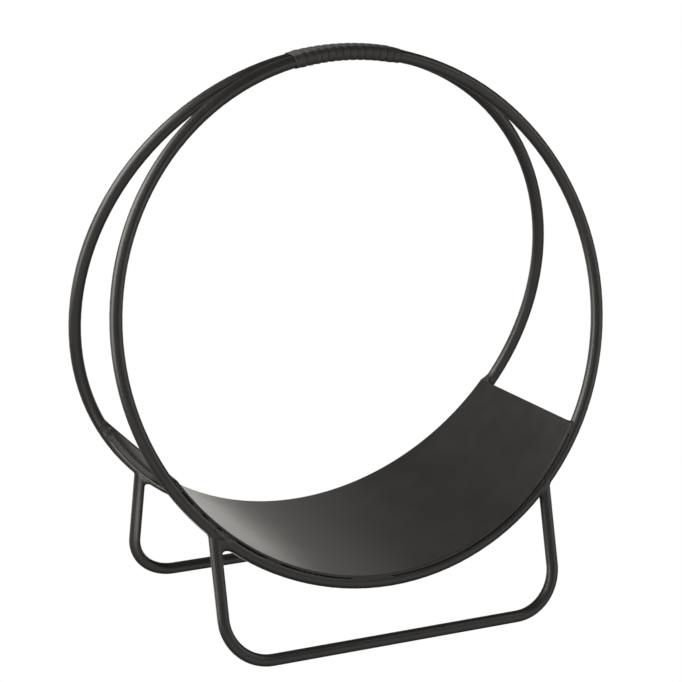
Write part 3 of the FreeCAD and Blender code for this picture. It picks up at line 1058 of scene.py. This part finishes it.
    def build(self) -> None:
        """Makes the welds of one side."""
        mirror = -self.hoop.side.value
        material, painted_light_colour = self.coat.material(), self.painted_light_colour.material()
        runs = [
            (run, [self.at_edge(mirror * angle, run.bead) for angle in self.steps(run)])
            for run in self.runs
        ]
        ridges = [(run, [self.at_ridge(angle) for angle in self.steps(run)]) for run in self.ridges]
        pieces = [
            (CornerWeld(self.hoop, self.tray, hand, self.ramp, self.closed).build(material), material)
            for hand in Hand
        ]
        routes = ((runs, material), (ridges, painted_light_colour))
        pieces += [(self.beads(paths, finish), finish) for paths, finish in routes if paths]
        node = f"{self.hoop.side.word}_tray_welds"
        joined_to_frame(together(f"{node}_beads", pieces), "weld_coat", node)


@dataclass(frozen=True)
class LegWeld:
    """The fillet of weld where a leg meets its hoop, blended into both bars and slightly rippled.

    It is larger in the sharp corner, which lies on the inner side of the leg and under the bar.
    """

    coat: PowderCoat
    hoop: Hoop
    hand: Hand
    leg_bar: float = 0.00575
    leg_x: float = 0.174
    splay: float = math.radians(14.8)
    blend: float = 0.0024
    open_blend: float = 0.0024
    seat: float = 0.00012
    bite: float = 0.0008
    reach: float = 0.0045
    ripple: float = 0.00006
    ripples: int = 34
    lump: float = 0.004
    lumpy: float = 0.0001
    sharp_beside: tuple[float, float] = (-0.002, 0.010)
    sharp_below: tuple[float, float] = (0.001, 0.009)
    voxel: float = 0.0004
    half_box: float = 0.019

    def recipe(self, material: bpy.types.Material) -> Recipe:
        """The tree that fills the corner between leg and hoop.

        Args:
            material: the weld's finish.

        Returns:
            The tree.
        """
        angle = math.asin(self.leg_x / self.hoop.radius) * self.hand.value
        down = Vector((0.0, self.hoop.side.value * math.sin(self.splay), -math.cos(self.splay)))
        tree = Recipe(
            f"{self.hoop.side.word}_{self.hand.word}_leg_fillet",
            {
                "Junction": self.hoop.point(angle),
                "Leg Direction": down,
                **self.hoop.inputs,
                "Leg Bar": self.leg_bar,
                "Blend": self.blend,
                "Open Blend": self.open_blend,
                "Seat": self.seat,
                "Bite": self.bite,
                "Reach": self.reach,
                "Ripple": self.ripple,
            },
        )
        place = tree.node("GeometryNodeInputPosition")
        from_junction = tree.vector("SUBTRACT", place, tree.size("Junction"))
        leg_way = tree.size("Leg Direction")
        below = tree.dot(from_junction, leg_way)
        along = tree.math("MAXIMUM", below, 0.0)
        beside = tree.vector("SUBTRACT", from_junction, tree.stretched(leg_way, along))
        leg = tree.vector("LENGTH", beside, output="Value") - tree.size("Leg Bar")
        hoop, _ = self.hoop.distance(tree, place)
        sharp = tree.step(tree.dot(from_junction, (-self.hand.value, 0.0, 0.0)), *self.sharp_beside)
        sharp *= tree.step(below, *self.sharp_below)
        blend = tree.size("Open Blend") + (tree.size("Blend") - tree.size("Open Blend")) * sharp
        fillet, near = tree.blended(leg, hoop, blend)
        cross_way = down.cross(Vector((1.0, 0.0, 0.0)))
        turn = tree.math("ARCTAN2", tree.dot(beside, tuple(cross_way)), tree.dot(beside, (1.0, 0.0, 0.0)))
        ripples = tree.ripples(turn * (self.ripples / 2))
        lumps = tree.noise(place, self.lump)
        uneven = ripples * tree.size("Ripple") * near + (lumps - 0.5) * near * self.lumpy
        skin = tree.limited(
            fillet + tree.size("Seat") - uneven,
            *(-bar - tree.size("Bite") for bar in (leg, hoop)),
            *(bar - tree.size("Reach") for bar in (leg, hoop)),
        )
        corner = Vector((self.half_box,) * 3)
        middle = self.hoop.point(angle) + down * self.hoop.bar
        tree.end(tree.filled(middle - corner, middle + corner, self.voxel, skin), material)
        return tree

    def build(self) -> None:
        """Makes the weld."""
        node = f"{self.hoop.side.word}_{self.hand.word}_foot_weld"
        maker = grown("fillet_maker", bpy.data.meshes.new("seed"), self.recipe(self.coat.material()))
        joined_to_frame(baked(maker, f"{node}_fillet"), "weld_coat", node)


@dataclass(frozen=True)
class Grip:
    """The leather strip: wound round both bars from right to left, each turn lapping over the one before.

    A turn lies square to the bars in front and on top, and moves on to the next behind and below.
    """

    leather: Leather
    hoop: Hoop
    width: float = 0.011
    thickness: float = 0.0005
    rounding: float = 0.3
    rounding_steps: int = 2
    clearance: float = 0.0004
    turns: int = 14
    right_end: float = 0.0555
    left_end: float = -0.0534
    moves_from: float = 0.68
    ramp: float = 0.003
    tightness: float = 10.0
    wander: float = 0.0006
    steps_round: int = 72
    steps_across: int = 16
    lap_grows: tuple[float, float] = (0.85, 1.0)
    sway: float = 1.7
    top_from: tuple[float, float] = (0.80, 0.95)
    shoulder_from: tuple[float, float] = (0.25, 0.5)
    shoulder_to: tuple[float, float] = (0.72, 0.85)
    front_from: tuple[float, float] = (0.0, 0.3)

    ACROSS = "across"
    # Name of the painted light mask: painted highlight on top of the strip, painted shade on its front
    # shoulder.
    TONE = "tone"

    def recipe(self, material: bpy.types.Material) -> Recipe:
        """The tree that winds a flat grid round the two bars.

        Args:
            material: the leather.

        Returns:
            The tree.
        """
        pitch = (self.right_end - self.left_end - self.width) / (self.turns - 1)
        tree = Recipe(
            "wound_strip",
            {
                "Turns": float(self.turns),
                "Pitch": pitch,
                "Width": self.width,
                "Thickness": self.thickness,
                "Right End": self.right_end,
                "Bar": self.hoop.bar + self.clearance,
                "Crown Gap": abs(self.hoop.centre.y) - self.hoop.radius * math.sin(self.hoop.lean),
                "Hoop Radius": self.hoop.radius,
                "Hoop Height": self.hoop.centre.z,
                "Ramp": self.ramp,
                "Wander": self.wander,
            },
        )
        grid = tree.node(
            "GeometryNodeMeshGrid",
            None,
            {
                "Size X": 1.0,
                "Size Y": 1.0,
                "Vertices X": self.turns * self.steps_round + 1,
                "Vertices Y": self.steps_across + 1,
            },
        )
        flat = tree.node("ShaderNodeSeparateXYZ", None, {"Vector": tree.node("GeometryNodeInputPosition")})
        wound = (flat.of("X") + 0.5) * tree.size("Turns")
        share = flat.of("Y") + 0.5
        from_left = share * tree.size("Width")
        lapped = tree.step(from_left, tree.size("Pitch") - tree.size("Ramp"), tree.size("Pitch"))
        layer = lapped * tree.step(wound, *self.lap_grows)
        sway = tree.node(
            "ShaderNodeTexNoise",
            {"noise_dimensions": "1D"},
            {"W": wound * self.sway, "Scale": 1.0, "Detail": 1.0},
        )
        moved = tree.step(tree.math("FRACT", wound), self.moves_from, 1.0)
        done = tree.math("MINIMUM", tree.math("FLOOR", wound) + moved, tree.size("Turns") - 1.0)
        edge_place = tree.size("Right End") - tree.size("Width") - done * tree.size("Pitch")
        place = edge_place + from_left + (sway - 0.5) * tree.size("Wander")
        reach = tree.size("Bar") + (layer + 0.5) * tree.size("Thickness")
        turn = 1.5 * math.pi - wound * (2 * math.pi)
        ahead, above = tree.math("COSINE", turn), tree.math("SINE", turn)
        hoop_turn = place / tree.size("Hoop Radius")
        sine, cosine = tree.math("SINE", hoop_turn), tree.math("COSINE", hoop_turn)
        lean_sine, lean_cosine = math.sin(self.hoop.lean), math.cos(self.hoop.lean)
        apart = tree.size("Crown Gap") + (1.0 - cosine) * tree.size("Hoop Radius") * lean_sine
        y = apart * tree.math("TANH", ahead * self.tightness) + ahead * reach
        slope = tree.vector("NORMALIZE", tree.combined(cosine, 0.0, sine * -lean_cosine))
        parts = tree.node("ShaderNodeSeparateXYZ", None, {"Vector": slope})
        x = sine * tree.size("Hoop Radius") - parts.of("Z") * above * reach
        crown = tree.size("Hoop Height") + cosine * tree.size("Hoop Radius") * lean_cosine
        z = crown + parts.of("X") * above * reach
        # Painted light mask: a painted highlight on the top of each turn, minus painted shade over the
        # front shoulder.
        shoulder = tree.step(above, *self.shoulder_from) * (1.0 - tree.step(above, *self.shoulder_to))
        shoulder *= tree.step(-ahead, *self.front_from)
        tone = tree.step(above, *self.top_from) - shoulder
        for name, mark in ((self.ACROSS, share * 2.0 - 1.0), (self.TONE, tone)):
            grid = tree.node(
                "GeometryNodeStoreNamedAttribute", None, {"Geometry": grid, "Name": name, "Value": mark}
            )
        strip = tree.node(
            "GeometryNodeSetPosition", None, {"Geometry": grid, "Position": tree.combined(x, y, z)}
        )
        tree.end(strip, material)
        return tree

    def build(self) -> None:
        """Winds the strip, gives it its thickness and rounds its edges by a share of that."""
        maker = grown("strip_maker", bpy.data.meshes.new("seed"), self.recipe(self.leather.material()))
        thick = maker.modifiers.new("thickness", "SOLIDIFY")
        thick.thickness, thick.offset = self.thickness, 0.0
        rounded = maker.modifiers.new("rounded_edges", "BEVEL")
        rounded.width, rounded.segments = self.thickness * self.rounding, self.rounding_steps
        rounded.limit_method = "ANGLE"
        joined_to_frame(baked(maker, "grip_strip"), "grip_leather", "grip_wrap")


@dataclass(frozen=True)
class SoftBox:
    """An area light that faces the holder: bearing and height in degrees, power, distance and width."""

    name: str
    bearing: float
    height: float
    power: float
    distance: float = 2.6
    width: float = 1.6


@dataclass(frozen=True)
class Studio:
    """The plain pale floor, the soft lights and the camera at the photograph's angle."""

    bearing: float = math.radians(-25.004)
    height: float = math.radians(15.105)
    roll: float = math.radians(0.245)
    distance: float = 2.1629
    focal_pixels: float = 2234.6
    picture_side: int = 682
    sensor: float = 36.0
    target: Vector = Vector((0.0, 0.0, 0.3))
    aside: float = -0.000189
    lower: float = -0.033121
    floor_size: float = 60.0
    dome_radius: float = 25.0
    dome_steps: int = 48
    warmth: Colour = (1.0, 0.98, 0.93)
    glow_front: float = 0.88
    glow_rear: float = 0.30
    glow_backdrop: float = 0.90
    backdrop_foot: tuple[float, float] = (-0.45, -0.22)
    horizon: float = 0.02
    bounce_place: Vector = Vector((-0.20, 0.014, 0.002))
    bounce_width: float = 0.12
    bounce: float = 0.12
    lights: tuple[SoftBox, ...] = (
        SoftBox("left_rear_high", -120.0, 35.0, 43.2),
        SoftBox("left_low", -90.0, 5.0, 39.5),
        SoftBox("left_high", -90.0, 35.0, 37.5),
        SoftBox("right_front_high", 60.0, 35.0, 11.7),
        SoftBox("right_front_low", 60.0, 5.0, 8.9),
        SoftBox("left_front_high", -30.0, 35.0, 8.0),
        SoftBox("front_low", 30.0, 5.0, 3.9),
        SoftBox("right_rear_low", 150.0, 5.0, 3.2),
        SoftBox("rear_high", 180.0, 35.0, 1.0),
    )

    @staticmethod
    def direction(bearing: float, height: float) -> Vector:
        """The direction from the holder to a place at that bearing and height, in radians."""
        return Vector(
            (math.sin(bearing) * math.cos(height), -math.cos(bearing) * math.cos(height), math.sin(height))
        )

    def camera(self) -> None:
        """Sets the camera where the photograph was taken."""
        back = self.direction(self.bearing, self.height)
        right = Vector((math.cos(self.bearing), math.sin(self.bearing), 0.0))
        upward = back.cross(right)
        aim = self.target + right * self.aside + upward * self.lower
        rolled_right = right * math.cos(self.roll) + upward * math.sin(self.roll)
        rolled_up = upward * math.cos(self.roll) - right * math.sin(self.roll)
        data = bpy.data.cameras.new("photo_camera")
        data.sensor_width = self.sensor
        data.lens = self.focal_pixels / self.picture_side * self.sensor
        camera = bpy.data.objects.new("photo_camera", data)
        turned = Matrix((rolled_right, rolled_up, back)).transposed()
        camera.matrix_world = Matrix.LocRotScale(aim + back * self.distance, turned.to_quaternion(), None)
        bpy.context.scene.collection.objects.link(camera)
        bpy.context.scene.camera = camera

    def backdrop(self) -> None:
        """Lays the white floor and puts a white dome round it, both seen by the camera alone."""
        material = bpy.data.materials.new("plain_white")
        tree = emptied(material)
        surface = tree.node("ShaderNodeEmission", None, {"Color": (1.0, 1.0, 1.0, 1.0), "Strength": 1.0})
        tree.node("ShaderNodeOutputMaterial", None, {"Surface": surface})
        floor, dome = bmesh.new(), bmesh.new()
        bmesh.ops.create_grid(floor, x_segments=1, y_segments=1, size=self.floor_size / 2)
        bmesh.ops.create_uvsphere(
            dome, u_segments=self.dome_steps, v_segments=self.dome_steps // 2, radius=self.dome_radius
        )
        for name, mesh in (("floor", floor), ("dome", dome)):
            data = bpy.data.meshes.new(name)
            mesh.to_mesh(data)
            mesh.free()
            data.materials.append(material)
            piece = shown(name, data)
            piece.visible_diffuse = piece.visible_glossy = piece.visible_transmission = False
            piece.visible_volume_scatter = piece.visible_shadow = False

    def surroundings(self) -> None:
        """Sets surroundings that are dark above and glow below, from the floor and the backdrop's foot."""
        world = bpy.data.worlds.new("surroundings")
        tree = emptied(world)
        direction = tree.node("ShaderNodeTexCoord", output="Generated")
        parts = tree.node("ShaderNodeSeparateXYZ", None, {"Vector": direction})
        below = tree.step(-parts.of("Z"), -self.horizon, self.horizon)
        ahead, behind = (tree.math("MAXIMUM", way, 0.0) for way in (-parts.of("Y"), parts.of("Y")))
        backdrop = tree.step(parts.of("Z"), *self.backdrop_foot) * self.glow_backdrop
        glow = below * (ahead * self.glow_front + behind * (backdrop + self.glow_rear))
        surface = tree.node("ShaderNodeBackground", None, {"Color": (*self.warmth, 1.0), "Strength": glow})
        tree.node("ShaderNodeOutputWorld", None, {"Surface": surface})
        bpy.context.scene.world = world

    def lamp(self, name: str, power: float, width: float, place: Vector, turn: Sequence[float]) -> None:
        """Hangs one area light that the camera does not see.

        Args:
            name: its name.
            power: in watts.
            width: of its square.
            place: where it hangs.
            turn: how it is turned from facing down, in radians round each axis.
        """
        data = bpy.data.lights.new(name, "AREA")
        data.energy, data.size, data.color = power, width, self.warmth
        lamp = bpy.data.objects.new(name, data)
        lamp.location, lamp.rotation_euler = place, turn
        lamp.visible_camera = False
        bpy.context.scene.collection.objects.link(lamp)

    def light(self) -> None:
        """Hangs the soft lights, and lays the light that the bright floor throws back at the left."""
        for box in self.lights:
            back = self.direction(math.radians(box.bearing), math.radians(box.height))
            turn = back.to_track_quat("Z", "Y").to_euler()
            self.lamp(box.name, box.power, box.width, self.target + back * box.distance, turn)
        face_up = (math.pi, 0.0, 0.0)
        self.lamp("floor_bounce", self.bounce, self.bounce_width, self.bounce_place, face_up)

    def build(self) -> None:
        """Sets up the whole studio."""
        self.camera()
        self.backdrop()
        self.surroundings()
        self.light()
        bpy.context.scene.view_settings.view_transform = "Standard"
        LOG.info("studio: %d lights", len(self.lights))


def main() -> None:
    """Builds every piece in order and reports it."""
    logging.basicConfig(level=logging.INFO, format="%(name)s: %(message)s")
    hoops = {side: Hoop(side) for side in Side}
    tray = Tray(PowderCoat("tray_powder_coat"), hoops[Side.FRONT])
    Bars(PowderCoat("bar_powder_coat", roughness=0.36)).build()
    tray.build()
    weld_coat = PowderCoat("weld_powder_coat", roughness=0.36)
    # Pale coat for the ridge: a painted highlight line along the fillet.
    painted_highlight_coat = PowderCoat("worn_powder_coat", (0.15, 0.148, 0.14), (0.22, 0.217, 0.205))
    TrayWelds(weld_coat, painted_highlight_coat, hoops[Side.FRONT], tray, ramp=0.002, closed=0.013).build()
    rear_coat = PowderCoat("rear_weld_powder_coat", roughness=0.5)
    ridge = Run(-44.5, 0.108, 0.0008)
    TrayWelds(
        rear_coat, painted_highlight_coat, hoops[Side.REAR], tray, ramp=0.014, closed=0.008, ridges=(ridge,)
    ).build()
    for side, blend in ((Side.FRONT, 0.012), (Side.REAR, 0.008)):
        LegWeld(weld_coat, hoops[side], Hand.LEFT, blend=blend, reach=0.011).build()
        LegWeld(weld_coat, hoops[side], Hand.RIGHT, reach=0.0032).build()
    Grip(Leather("strip_leather"), hoops[Side.FRONT]).build()
    Studio().build()


if __name__ == "__main__":
    main()
